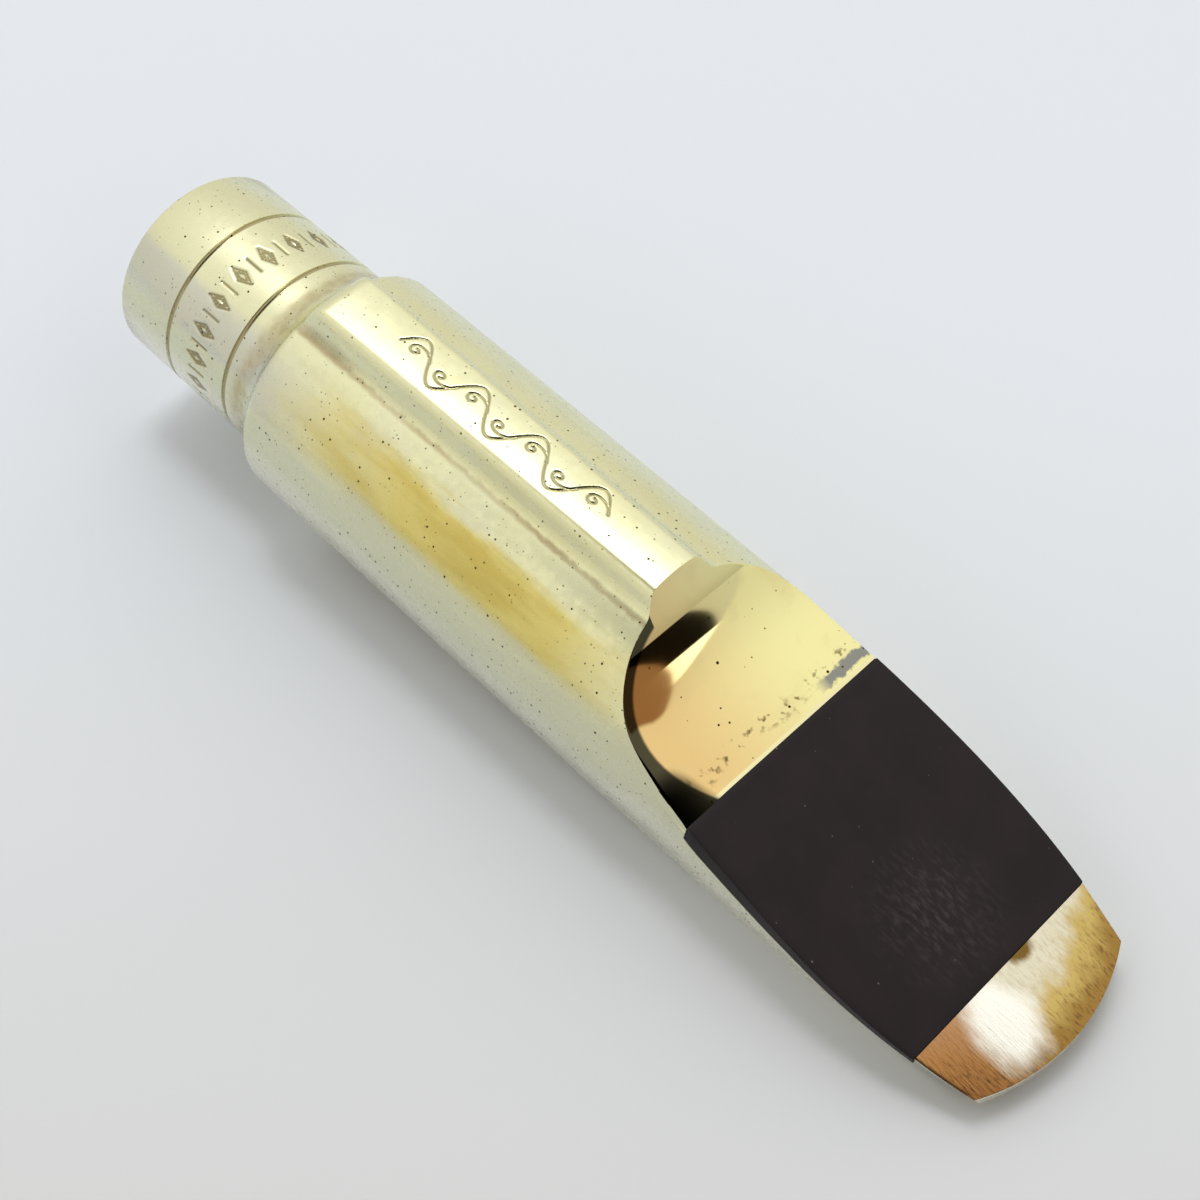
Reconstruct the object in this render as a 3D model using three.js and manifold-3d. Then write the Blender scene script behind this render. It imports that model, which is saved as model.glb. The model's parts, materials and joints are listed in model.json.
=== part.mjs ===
// A metal tenor saxophone mouthpiece: a turned shank, a milled and plated brass body with a raised spine,
// the flat plate that the reed lies on, and a hard-rubber bite plate.
//
// Every piece is drawn along the bore: X runs from the shank's end face to the tip, Y across, Z up, with the bore's
// axis at Y = Z = 0. The finished group is tipped forward until it rests on its collar and its side rails.
import * as THREE from 'three';
import { mergeVertices } from 'three/addons/utils/BufferGeometryUtils.js';
import Module from 'manifold-3d';

const wasm = await Module();
wasm.setup();

// ---- Driving dimensions, millimetres ----

const length = 101.6;
const shankRadius = 9.3;
const barrelRadius = 11.25;
const boreRadius = 8;
const boreDepth = 24.6;
const chamberRadius = 8.9;
const seam = 0.3; // gap left between neighbouring pieces for solder or cement

// Shank: two thin grooves, and a concave flare up to the barrel
const grooves = [6.84, 14.69];
const grooveWidth = 0.5;
const grooveDepth = 0.3;
const flareStart = 16.3;
const shoulder = 19.3;
const shoulderRadius = 10.5;
const spigotRadius = 9;
const mouthChamfer = 0.3;

// Spine: a crowned rib that narrows and sinks slightly towards the scoop, with a fillet down each side
const spineEnds = { start: 20, end: 62 };
const spineHalfWidth = { start: 3.12, end: 2.68 };
const spineEdgeHeight = { start: 12.95, end: 12.4 };
const spineCrown = 0.25;
const spineFillet = 1.1;
const spineRoot = 9.6;
const spineRise = 2.2; // length over which the spine rises from the shoulder

// Beak: a round scoop that runs into a straight slope, then a flatter tip
const slopeStart = 70;
const slopeHeight = 3.43;
const slopeEnd = 94.5;
const slopeEndHeight = -2.08;
const scoopRadius = 14.8;
const tipHeight = -3.3;
const tipArcRadius = 18.7;
const taperStart = 72;
const taper = 9.2e-5; // the body's radius shrinks by this times the cube of the distance past taperStart

// Bite plate
const plateStart = 71.9;
const plateThickness = 1.43;
const plateProud = 0.15;

// Underside: a collar, the flat table, and the facing that curves up to the tip
const tableStart = 25.6;
const tableHeight = -7.4;
const facingStart = 77;
const tipOpening = 3.25;
const tablePlateThickness = 2.05;
const tablePlateEnd = 66;

// Inside: the chamber closes down to a throat between the side rails
const chamberEnd = 56;
const domeLength = 8.6;
const throatStart = 60;
const throatHalfWidth = 6.4;
const throatCeiling = 3.2;
const tipRail = 1.3;
const baffle = { behindTip: 4.1, height: -4.15 }; // where the ceiling comes closest to the tip, and how high it is
const roof = 0.9; // wall between the bite plate's recess and the baffle

const roundSegments = 72;
const beyond = 20; // how far a cutting shape runs past what it cuts

// ---- Shapes ----

// A closed mesh as a solid that can be joined and cut
function solid(geometry) {
  geometry.deleteAttribute('normal');
  geometry.deleteAttribute('uv');
  const merged = mergeVertices(geometry, 1e-4);
  return new wasm.Manifold(new wasm.Mesh({
    numProp: 3,
    vertProperties: Float32Array.from(merged.attributes.position.array),
    triVerts: Uint32Array.from(merged.index.array),
  }));
}

// Turned about the bore's axis from a profile of [x, radius] points
function turned(profile) {
  const points = profile.map(([x, radius]) => new THREE.Vector2(radius, x));
  return solid(new THREE.LatheGeometry(points, roundSegments).rotateZ(-Math.PI / 2));
}

// Milled from the side: an outline of [x, z] points, carried across the body from -halfWidth to +halfWidth
function milledAcross(outline, halfWidth = beyond) {
  const shape = new THREE.Shape(outline.map(([x, z]) => new THREE.Vector2(x, z)));
  const geometry = new THREE.ExtrudeGeometry(shape, { depth: 2 * halfWidth, bevelEnabled: false });
  return solid(geometry.translate(0, 0, -halfWidth).rotateX(Math.PI / 2));
}

// Milled from below: an outline of [x, y] points, carried from the height bottom to the height top
function milledUp(outline, bottom, top) {
  const shape = new THREE.Shape(outline.map(([x, y]) => new THREE.Vector2(x, y)));
  const geometry = new THREE.ExtrudeGeometry(shape, { depth: top - bottom, bevelEnabled: false });
  return solid(geometry.translate(0, 0, bottom));
}

// Points of a function between two values of its argument
function sampled(steps, from, to, point) {
  return Array.from({ length: steps + 1 }, (_, i) => point(from + ((to - from) * i) / steps));
}

// A closed skin through cross-sections, each with the same number of [y, z] points, at stations along X
function lofted(stations, sections) {
  const count = sections[0].length;
  const positions = [];
  const index = [];
  sections.forEach((section, s) => section.forEach(([y, z]) => positions.push(stations[s], y, z)));
  for (let s = 0; s + 1 < sections.length; s += 1) {
    for (let i = 0; i < count; i += 1) {
      const a = s * count + i;
      const b = s * count + ((i + 1) % count);
      index.push(a, b, b + count, a, b + count, a + count);
    }
  }
  const cap = (section) => THREE.ShapeUtils.triangulateShape(section.map(([y, z]) => new THREE.Vector2(y, z)), []);
  const last = (sections.length - 1) * count;
  cap(sections[0]).forEach(([a, b, c]) => index.push(a, c, b));
  cap(sections.at(-1)).forEach(([a, b, c]) => index.push(last + a, last + b, last + c));
  const geometry = new THREE.BufferGeometry();
  geometry.setAttribute('position', new THREE.Float32BufferAttribute(positions, 3));
  geometry.setIndex(index);
  return solid(geometry);
}

// A piece of the finished group: its solid as a named mesh in its own material
function piece(name, shape, material) {
  const mesh = shape.getMesh();
  const geometry = new THREE.BufferGeometry();
  geometry.setAttribute('position', new THREE.BufferAttribute(mesh.vertProperties, 3));
  geometry.setIndex(new THREE.BufferAttribute(mesh.triVerts, 1));
  geometry.computeVertexNormals();
  const part = new THREE.Mesh(geometry, material);
  part.name = name;
  return part;
}

const lerp = THREE.MathUtils.lerp;

// ---- The body's outside ----

const slope = (slopeEndHeight - slopeHeight) / (slopeEnd - slopeStart);
const slopeAngle = Math.atan(slope);
const beakTop = (x) => (x < slopeEnd
  ? slopeHeight + slope * (x - slopeStart)
  : lerp(slopeEndHeight, tipHeight, (x - slopeEnd) / (length - slopeEnd)));

// The barrel's radius, plain as far as the bite plate and then drawn in towards the tip
const bodyRadius = (x) => barrelRadius - taper * Math.max(x - taperStart, 0) ** 3;

// A round blank of the body's outer shape between two stations, swollen by some allowance
function blank(from, to, allowance = 0) {
  const straight = Math.min(Math.max(taperStart, from), to);
  const tapered = sampled(14, straight, to, (x) => [x, bodyRadius(x) + allowance]);
  return [[from, 0], [from, bodyRadius(from) + allowance], ...tapered, [to, 0]];
}

// The scoop is a round cut that meets the slope without a crease
const scoopCentre = [
  slopeStart - scoopRadius * Math.sin(slopeAngle),
  slopeHeight + scoopRadius * Math.cos(slopeAngle),
];
const scoopWallStart = Math.PI + 0.33; // the direction from the centre to the wall's top, above the spine
const scoopWall = sampled(16, scoopWallStart, 1.5 * Math.PI + slopeAngle, (angle) => [
  scoopCentre[0] + scoopRadius * Math.cos(angle),
  scoopCentre[1] + scoopRadius * Math.sin(angle),
]);
const aboveBeak = milledAcross([
  ...scoopWall,
  [slopeEnd, slopeEndHeight],
  [length + 1, beakTop(length + 1)],
  [length + 1, beyond],
  [scoopWall[0][0], beyond],
]);

// The facing rises from the table to the tip as a parabola
const facingRate = tipOpening / (length - facingStart) ** 2;
const underside = (x) => tableHeight + facingRate * Math.max(x - facingStart, 0) ** 2;
const belowTable = milledAcross([
  [tableStart, tableHeight],
  ...sampled(10, facingStart, length + 1, (x) => [x, underside(x)]),
  [length + 1, -beyond],
  [tableStart, -beyond],
]);

// The tip's arch, seen from above
const archHalfAngle = 0.6; // wide enough to leave the body on both sides
const archPoints = (radius) => sampled(20, -archHalfAngle, archHalfAngle, (angle) => [
  length - tipArcRadius + radius * Math.cos(angle),
  radius * Math.sin(angle),
]);
const beyondTip = milledUp(
  [...archPoints(tipArcRadius), [length, beyond], [length + 1, beyond], [length + 1, -beyond], [length, -beyond]],
  -beyond,
  beyond,
);

// The spine's section: a crowned top, steep concave sides, and a root buried in the barrel's wall
function spineSection(halfWidth, edgeHeight, crown) {
  const foot = halfWidth + spineFillet;
  const footHeight = Math.sqrt(barrelRadius ** 2 - foot ** 2) - 0.05;
  const drop = edgeHeight - footHeight;
  const side = sampled(6, 0, Math.PI / 2, (angle) => [
    foot - spineFillet * Math.sin(angle),
    footHeight + drop * (1 - Math.cos(angle)),
  ]);
  const top = sampled(8, 1, -1, (t) => [t * halfWidth, edgeHeight + crown * (1 - t * t)]).slice(1, -1);
  const otherSide = side.map(([y, z]) => [-y, z]).reverse();
  return [[foot, spineRoot], ...side, ...top, ...otherSide, [-foot, spineRoot]];
}
const spineStations = [...sampled(5, 0, 1, (t) => spineEnds.start + spineRise * t), spineEnds.end];
const spine = lofted(spineStations, spineStations.map((x) => {
  const along = (x - spineEnds.start) / (spineEnds.end - spineEnds.start);
  const risen = Math.sqrt(Math.max(0, 1 - (1 - Math.min((x - spineEnds.start) / spineRise, 1)) ** 2));
  const halfWidth = lerp(spineHalfWidth.start, spineHalfWidth.end, along);
  const full = lerp(spineEdgeHeight.start, spineEdgeHeight.end, along);
  const edge = lerp(Math.sqrt(barrelRadius ** 2 - halfWidth ** 2), full, risen);
  return spineSection(halfWidth, edge, spineCrown * risen + 0.02);
}));

// ---- Brass body ----

const roundedShoulder = sampled(5, 0, Math.PI / 2, (angle) => [
  shoulder + seam + 0.9 * (1 - Math.cos(angle)),
  shoulderRadius + (barrelRadius - shoulderRadius) * Math.sin(angle),
]);
const bodyBlank = turned([[shoulder + seam, 0], ...roundedShoulder, ...blank(taperStart, length + 1).slice(1)]);

const counterbore = turned([
  [shoulder - 1, 0],
  [shoulder - 1, spigotRadius + seam],
  [boreDepth + seam, spigotRadius + seam],
  [boreDepth + seam, 0],
]);
const chamber = turned([
  [boreDepth, 0],
  [boreDepth, chamberRadius],
  ...sampled(8, 0, Math.PI / 2, (angle) => [
    chamberEnd + domeLength * Math.sin(angle),
    angle < Math.PI / 2 ? chamberRadius * Math.cos(angle) : 0,
  ]),
]);

// The throat's ceiling follows the beak, one wall below the bite plate's recess, and rolls over to the tip rail
const recessDepth = plateThickness + seam;
const railStart = length - tipRail;
const throat = milledAcross([
  [throatStart, -beyond],
  [throatStart, throatCeiling],
  [plateStart - seam, beakTop(plateStart) - recessDepth - roof],
  [slopeEnd + seam, beakTop(slopeEnd) - recessDepth - roof],
  [length - baffle.behindTip, baffle.height],
  [railStart, underside(railStart)],
  [railStart, -beyond],
], throatHalfWidth).intersect(milledUp(
  [...archPoints(tipArcRadius - tipRail), [throatStart - 1, beyond], [throatStart - 1, -beyond]],
  -beyond,
  beyond,
));

const plateRecess = milledAcross([
  [plateStart - seam, beakTop(plateStart - seam) - recessDepth],
  [slopeEnd + seam, beakTop(slopeEnd) - recessDepth],
  [slopeEnd + seam, beyond],
  [plateStart - seam, beyond],
]);
const tablePlateTop = tableHeight + tablePlateThickness;
const tablePlateSeat = milledAcross([
  [tableStart, tablePlateTop + seam],
  [tablePlateEnd + seam, tablePlateTop + seam],
  [tablePlateEnd + seam, -beyond],
  [tableStart, -beyond],
]);

const bodyShell = [aboveBeak, belowTable, beyondTip, counterbore, chamber, throat, plateRecess, tablePlateSeat]
  .reduce((body, cut) => body.subtract(cut), bodyBlank.add(spine));

// ---- Shank sleeve ----

const groove = (centre) => [
  [centre - grooveWidth / 2, shankRadius],
  [centre - grooveWidth / 4, shankRadius - grooveDepth],
  [centre + grooveWidth / 4, shankRadius - grooveDepth],
  [centre + grooveWidth / 2, shankRadius],
];
const flareHeight = shoulderRadius - shankRadius;
const flareRadius = ((shoulder - flareStart) ** 2 + flareHeight ** 2) / (2 * flareHeight);
const flare = sampled(6, flareStart, shoulder, (x) => [
  x,
  shankRadius + flareRadius - Math.sqrt(flareRadius ** 2 - (x - flareStart) ** 2),
]);
const shankOutside = [
  [0, shankRadius - mouthChamfer],
  [mouthChamfer, shankRadius],
  ...grooves.flatMap(groove),
  ...flare,
  [shoulder, spigotRadius],
  [boreDepth, spigotRadius],
];
const shankSleeve = turned([
  [0, boreRadius + mouthChamfer],
  ...shankOutside,
  [boreDepth, boreRadius],
  [mouthChamfer, boreRadius],
  [0, boreRadius + mouthChamfer],
]);

// ---- Table plate ----

const windowRound = sampled(16, Math.PI / 2, 1.5 * Math.PI, (angle) => [
  tablePlateEnd + throatHalfWidth * Math.cos(angle),
  throatHalfWidth * Math.sin(angle),
]);
const windowCut = milledUp(
  [...windowRound, [tablePlateEnd + beyond, -throatHalfWidth], [tablePlateEnd + beyond, throatHalfWidth]],
  -beyond,
  beyond,
);
const tablePlate = turned(blank(tableStart + seam, tablePlateEnd))
  .intersect(milledAcross([
    [tableStart, tableHeight],
    [tablePlateEnd + 1, tableHeight],
    [tablePlateEnd + 1, tablePlateTop],
    [tableStart, tablePlateTop],
  ]))
  .subtract(windowCut);

// ---- Bite plate ----

const bitePlate = turned(blank(plateStart, slopeEnd, plateProud)).intersect(milledAcross([
  [plateStart - 1, beakTop(plateStart - 1) - plateThickness],
  [slopeEnd + 1, slopeEndHeight + slope - plateThickness],
  [slopeEnd + 1, slopeEndHeight + slope],
  [plateStart - 1, beakTop(plateStart - 1)],
]));

// ---- Assembly ----

const plating = new THREE.MeshStandardMaterial({ color: 0xd8d2a4, roughness: 0.22, metalness: 1 });
const bareTable = new THREE.MeshStandardMaterial({ color: 0xcfc693, roughness: 0.3, metalness: 1 });
const hardRubber = new THREE.MeshStandardMaterial({ color: 0x251c22, roughness: 0.45, metalness: 0 });

const mouthpiece = new THREE.Group();
mouthpiece.add(
  piece('shank_sleeve', shankSleeve, plating),
  piece('body_shell', bodyShell, plating),
  piece('table_plate', tablePlate, bareTable),
  piece('bite_plate', bitePlate, hardRubber),
);

// At rest it leans on the collar's front edge and on the facing, where a line from that edge touches the parabola
const reach = facingStart - tableStart;
const collarDrop = barrelRadius + tableHeight;
const touch = Math.sqrt(reach ** 2 + collarDrop / facingRate) - reach;
mouthpiece.rotation.y = Math.atan(2 * facingRate * touch);

// The origin is on the floor, below the middle of the object
const extent = new THREE.Box3().setFromObject(mouthpiece, true);
const middle = extent.getCenter(new THREE.Vector3());
mouthpiece.position.set(-middle.x, -middle.y, -extent.min.z);
mouthpiece.updateMatrixWorld(true);

export default mouthpiece;
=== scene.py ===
# A metal tenor saxophone mouthpiece, lying on a pale table under soft light.
import json
import math

import bmesh
import bpy
import numpy as np
from mathutils import Matrix, Vector


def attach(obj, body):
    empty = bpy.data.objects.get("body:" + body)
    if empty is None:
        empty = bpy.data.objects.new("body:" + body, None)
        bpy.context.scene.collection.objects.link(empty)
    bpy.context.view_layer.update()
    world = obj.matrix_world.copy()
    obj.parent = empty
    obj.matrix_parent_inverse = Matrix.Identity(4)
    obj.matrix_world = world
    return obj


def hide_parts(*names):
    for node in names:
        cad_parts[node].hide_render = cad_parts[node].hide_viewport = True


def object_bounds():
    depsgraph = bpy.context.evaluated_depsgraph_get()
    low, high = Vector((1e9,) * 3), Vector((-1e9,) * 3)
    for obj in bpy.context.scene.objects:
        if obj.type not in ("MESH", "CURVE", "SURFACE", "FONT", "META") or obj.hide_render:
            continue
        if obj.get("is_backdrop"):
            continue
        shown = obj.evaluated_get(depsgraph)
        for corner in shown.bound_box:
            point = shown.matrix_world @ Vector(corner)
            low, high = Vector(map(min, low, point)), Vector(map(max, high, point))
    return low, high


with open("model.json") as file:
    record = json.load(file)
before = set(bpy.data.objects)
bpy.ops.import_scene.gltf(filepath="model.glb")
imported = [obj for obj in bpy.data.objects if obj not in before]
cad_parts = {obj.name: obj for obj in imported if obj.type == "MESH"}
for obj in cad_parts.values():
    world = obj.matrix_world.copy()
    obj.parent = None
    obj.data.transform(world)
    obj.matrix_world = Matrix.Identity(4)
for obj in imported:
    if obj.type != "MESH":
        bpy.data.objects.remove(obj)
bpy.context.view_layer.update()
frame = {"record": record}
scene = bpy.context.scene

# ---- How the mouthpiece lies ----
# Everything is drawn along the bore in millimetres: x from the shank's end face to the tip, y across, z up.
# It leans on its collar and side rails, so the bore dips towards the tip. The record's two faces say by how much.

MM = 0.001
END_FACE_POINT = 8.65  # height on the end face of the point that the record gives

faces = {mount["name"]: mount for mount in frame["record"]["mounts"]}
forward = -Vector(faces["shank_end"]["axis"]).normalized()
upward = -Vector(faces["reed_table"]["axis"]).normalized()
across = upward.cross(forward)
bore_start = Vector(faces["shank_end"]["pos_m"]) - upward * END_FACE_POINT * MM
lie = Matrix((forward, across, upward)).transposed()


def placed(points):
    """Points along the bore, in millimetres, as points of the scene, in metres."""
    return np.asarray(points, float) @ np.array(lie).T * MM + np.array(bore_start)


def drawn(points):
    """Points of the scene, in metres, as points along the bore, in millimetres."""
    return (np.asarray(points, float) - np.array(bore_start)) @ np.array(lie) / MM


# ---- Camera ----
# It looks down over the tip's left side, with the bore running from the top left to the bottom right.

CAMERA_AT = Vector(placed((108.41, -61.33, 125.40)))
LOOKS_AT = Vector(placed((52.05, -0.02, 0.83)))
TOP_OF_VIEW = lie @ Vector((-0.605, 0.571, 0.555))
LENS = 55.17

camera = bpy.data.objects.new("camera", bpy.data.cameras.new("camera"))
camera.data.lens = LENS
camera.data.sensor_width = 36
camera.data.clip_start = 0.01
backward = (CAMERA_AT - LOOKS_AT).normalized()
rightward = TOP_OF_VIEW.cross(backward).normalized()
camera.matrix_world = Matrix((rightward, backward.cross(rightward), backward)).transposed().to_4x4()
camera.location = CAMERA_AT
scene.collection.objects.link(camera)
scene.camera = camera

# ---- Table top and room ----
# A matt pale table in a light room: a ceiling tube over the bore, a window's strip beyond a dark doorway ahead of
# the tip, a wooden upright beside it, and a dark patch overhead. Polished brass shows all of these.

TABLE_NEAR_PAINTED_SHADE, TABLE_FAR_PAINTED_LIGHT = "#D9D9DA", "#ECF2FC"  # painted light: its colour is painted paler towards the window, beyond the mouthpiece
TABLE_HALF = 1.5
CEILING = "#FFFDF6"
DARK = "#16130F"
UPRIGHT = "#A68468"
LAMP_DISTANCE = 0.8


def colour(code):
    """An sRGB hex value as the linear colour that shaders take."""
    channels = [int(code[i : i + 2], 16) / 255 for i in (1, 3, 5)]
    return [c / 12.92 if c <= 0.04045 else ((c + 0.055) / 1.055) ** 2.4 for c in channels] + [1.0]


def node(tree, kind, feeds=None, **settings):
    """Adds a node with its settings. Feeds are its inputs, by name or place: another node's output, or a value."""
    made = tree.nodes.new(kind)
    for key, value in settings.items():
        setattr(made, key, value)
    for key, value in (feeds or {}).items():
        if isinstance(value, bpy.types.NodeSocket):
            tree.links.new(value, made.inputs[key])
        else:
            made.inputs[key].default_value = value
    return made


def painted(tree, under, tint, where, start, end, within=1.0):
    """Lays a tint over what is there, from none where a value is at `start` to `within` where it is at `end`."""
    share = node(tree, "ShaderNodeMapRange",
                 {"Value": where, "From Min": start, "From Max": end, "To Max": within},
                 interpolation_type="SMOOTHSTEP")
    return node(tree, "ShaderNodeMix", {0: share.outputs["Result"], 6: under, 7: tint},
                data_type="RGBA").outputs[2]


scene.view_settings.view_transform = "Standard"

floor_mesh = bpy.data.meshes.new("table_top")
floor_mesh.from_pydata(
    [(x * TABLE_HALF, y * TABLE_HALF, 0) for x, y in ((-1, -1), (1, -1), (1, 1), (-1, 1))], [], [(0, 1, 2, 3)]
)
table_top = bpy.data.objects.new("table_top", floor_mesh)
scene.collection.objects.link(table_top)
table_top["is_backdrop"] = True
matt = bpy.data.materials.new("matt_table_top")
matt.use_nodes = True
tree = matt.node_tree
# Painted light: the table top's colour grows paler towards the window, a painted pool of the window's light
to_window = lie @ Vector((-0.68, 0.73, 0))
painted_window_light_share = node(tree, "ShaderNodeVectorMath",
                {0: node(tree, "ShaderNodeTexCoord").outputs["Object"], 1: to_window},
                operation="DOT_PRODUCT").outputs["Value"]
tint = painted(tree, colour(TABLE_NEAR_PAINTED_SHADE), colour(TABLE_FAR_PAINTED_LIGHT), painted_window_light_share, -0.11, 0.05)
tree.links.new(tint, tree.nodes["Principled BSDF"].inputs["Base Color"])
tree.nodes["Principled BSDF"].inputs["Roughness"].default_value = 0.8
floor_mesh.materials.append(matt)

room = bpy.data.worlds.new("room")
scene.world = room
room.use_nodes = True
sky = room.node_tree
looking = node(sky, "ShaderNodeTexCoord").outputs["Generated"]


def facing(x, y, z):
    """How nearly the direction looked in is the one given along the bore: the cosine of the angle between them."""
    axis = lie @ Vector((x, y, z)).normalized()
    return node(sky, "ShaderNodeVectorMath", {0: looking, 1: axis}, operation="DOT_PRODUCT").outputs["Value"]


def cosine(degrees):
    return math.cos(math.radians(degrees))


def bright(code, strength):
    return [c * strength for c in colour(code)[:3]] + [1.0]


above = facing(0, 0, 1)
past_paper = node(sky, "ShaderNodeMath", {0: facing(0.4726, -0.8813, 0), 1: 0.0},
                  operation="GREATER_THAN").outputs[0]
ahead = node(sky, "ShaderNodeMath", {0: facing(-0.17, 0.985, 0), 1: 0.0}, operation="GREATER_THAN").outputs[0]
gap = node(sky, "ShaderNodeMath", {0: past_paper, 1: ahead}, operation="MULTIPLY").outputs[0]
rising = node(sky, "ShaderNodeMath", {0: facing(0.431, -0.894, 0.120), 1: 0.0},
              operation="GREATER_THAN").outputs[0]
doorway = node(sky, "ShaderNodeMath", {0: rising, 1: ahead}, operation="MULTIPLY").outputs[0]
beside = node(sky, "ShaderNodeMath", {0: facing(0.378, -0.911, 0.168), 1: 0.0},
              operation="GREATER_THAN").outputs[0]
upright = node(sky, "ShaderNodeMath", {0: beside, 1: ahead}, operation="MULTIPLY").outputs[0]

view = painted(sky, bright("#FFFCF2", 0.72), bright(CEILING, 0.92), above, cosine(80), cosine(35))
view = painted(sky, view, bright("#FFFFFF", 1.5), facing(-0.26, 0.13, 0.95), cosine(30), cosine(8))
view = painted(sky, view, bright(DARK, 1.0), facing(0.22, -0.32, 0.92), cosine(36), cosine(31))
view = painted(sky, view, bright("#FFFFFF", 1.7), above, cosine(60), cosine(63), gap)
view = painted(sky, view, bright("#CDCBC9", 1.0), above, cosine(70.6), cosine(71.2), gap)
view = painted(sky, view, bright(DARK, 0.8), above, cosine(70.6), cosine(71.2), doorway)
view = painted(sky, view, bright(UPRIGHT, 0.85), above, cosine(51), cosine(54), upright)
sky.links.new(view, sky.nodes["Background"].inputs["Color"])
sky.nodes["Background"].inputs["Strength"].default_value = 1.17


def ceiling_lamp(name, x, y, z, length, width, watts):
    """A soft rectangular lamp in a direction given along the bore, facing the mouthpiece."""
    lamp = bpy.data.objects.new(name, bpy.data.lights.new(name, "AREA"))
    lamp.data.shape = "RECTANGLE"
    lamp.data.size, lamp.data.size_y, lamp.data.energy = length, width, watts
    outward = lie @ Vector((x, y, z)).normalized()
    aside = outward.cross(forward).normalized()
    lamp.matrix_world = Matrix((aside.cross(outward), aside, outward)).transposed().to_4x4()
    lamp.location = LOOKS_AT + outward * LAMP_DISTANCE
    scene.collection.objects.link(lamp)


ceiling_lamp("ceiling_tube", -0.28, 0.14, 0.95, 0.30, 0.16, 1.0)

# ---- Shank sleeve ----
# A brass tube turned on the lathe and soldered into the body: it fits over the cork. Two grooves frame a band, and
# a concave flare leads up to the body's shoulder.

SHANK_RADIUS, BORE_RADIUS, BORE_DEPTH = 9.3, 8.0, 24.6
GROOVES, GROOVE_WIDTH, GROOVE_DEPTH = (6.84, 14.69), 0.5, 0.3
FLARE_START, SHOULDER, SHOULDER_RADIUS, SPIGOT_RADIUS = 16.3, 19.3, 10.5, 9.0
BAND_START, BAND_END = 8.3, 13.3
ROUND_STEPS = 480
MOUTH_CHAMFER, MOUTH_BEVEL = 0.3, 0.09


def grid_faces(rows, columns, first=0, closed=False):
    """Quads between rows of points, each with the same number of columns. Closed rows join end to end."""
    spans = columns if closed else columns - 1
    return [
        (a + i, a + (i + 1) % columns, a + columns + (i + 1) % columns, a + columns + i)
        for a in range(first, first + (rows - 1) * columns, columns)
        for i in range(spans)
    ]


def mesh_object(name, points, faces, weld=2e-7):
    """A closed mesh from points along the bore, welded where its patches meet, with its faces pointing out."""
    mesh = bpy.data.meshes.new(name)
    mesh.from_pydata([tuple(p) for p in placed(points)], [], faces)
    work = bmesh.new()
    work.from_mesh(mesh)
    bmesh.ops.remove_doubles(work, verts=work.verts, dist=weld)
    bmesh.ops.dissolve_degenerate(work, edges=work.edges, dist=weld)
    bmesh.ops.recalc_face_normals(work, faces=work.faces)
    work.to_mesh(mesh)
    work.free()
    piece = bpy.data.objects.new(name, mesh)
    scene.collection.objects.link(piece)
    return piece


def turned(name, profile, segments=ROUND_STEPS):
    """Turned about the bore's axis from a profile of (x, radius), which starts and ends on the axis or closes."""
    profile = np.array(profile, float)
    angle = np.arange(segments) * 2 * math.pi / segments
    x = np.repeat(profile[:, 0], segments)
    y = np.outer(profile[:, 1], np.sin(angle)).ravel()
    z = np.outer(profile[:, 1], np.cos(angle)).ravel()
    return mesh_object(name, np.column_stack((x, y, z)), grid_faces(len(profile), segments, closed=True))


def settled(piece):
    """Applies a piece's modifiers and leaves a plain mesh."""
    depsgraph = bpy.context.evaluated_depsgraph_get()
    mesh = bpy.data.meshes.new_from_object(piece.evaluated_get(depsgraph))
    piece.modifiers.clear()
    piece.data = mesh


def eased(piece, width, steps=2, sharper_than=40):
    """Breaks the sharp edges with a small round, of a width in millimetres."""
    bevel = piece.modifiers.new("eased", "BEVEL")
    bevel.width = width * MM
    bevel.segments = steps
    bevel.limit_method = "ANGLE"
    bevel.angle_limit = math.radians(sharper_than)
    settled(piece)


def dressed(piece, slot, cad_node, *materials, crease=30):
    """Shades a piece smoothly up to its creases, gives it its materials, attaches it to the root and hides the CAD node
    it stands for.
    """
    piece.data.shade_smooth()
    piece.data.set_sharp_from_angle(angle=math.radians(crease))
    piece.data.materials.clear()
    for material in materials:
        piece.data.materials.append(material)
    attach(piece, "root")
    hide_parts(cad_node)


def groove(centre):
    turn = np.linspace(math.pi, 2 * math.pi, 9)
    half, deep = GROOVE_WIDTH / 2, GROOVE_DEPTH
    return [(centre + half * math.cos(t), SHANK_RADIUS + deep * math.sin(t)) for t in turn]


flare_height = SHOULDER_RADIUS - SHANK_RADIUS
flare_radius = ((SHOULDER - FLARE_START) ** 2 + flare_height**2) / (2 * flare_height)
flare = [
    (x, SHANK_RADIUS + flare_radius - math.sqrt(flare_radius**2 - (x - FLARE_START) ** 2))
    for x in np.linspace(FLARE_START, SHOULDER, 17)
]
band = [(x, SHANK_RADIUS) for x in np.linspace(BAND_START, BAND_END, 51)]
outside = [(0, SHANK_RADIUS - MOUTH_CHAMFER), (MOUTH_BEVEL, SHANK_RADIUS - MOUTH_BEVEL),
           (MOUTH_CHAMFER, SHANK_RADIUS)]
outside += groove(GROOVES[0]) + band + groove(GROOVES[1]) + flare
outside += [(SHOULDER, SPIGOT_RADIUS), (BORE_DEPTH, SPIGOT_RADIUS)]
inside = [(BORE_DEPTH, BORE_RADIUS), (MOUTH_CHAMFER, BORE_RADIUS), (MOUTH_BEVEL, BORE_RADIUS + MOUTH_BEVEL),
          (0, BORE_RADIUS + MOUTH_CHAMFER)]
shank = turned("shank_sleeve_brass", outside + inside + outside[:1])


# Brass, plated a pale gold and polished. Years of handling have left the barrel hazy, stained ochre where a thumb
# rested, brown in its corners, and pitted all over. Low on its sides its colour is greyer, and lowest greyer and paler.

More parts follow.
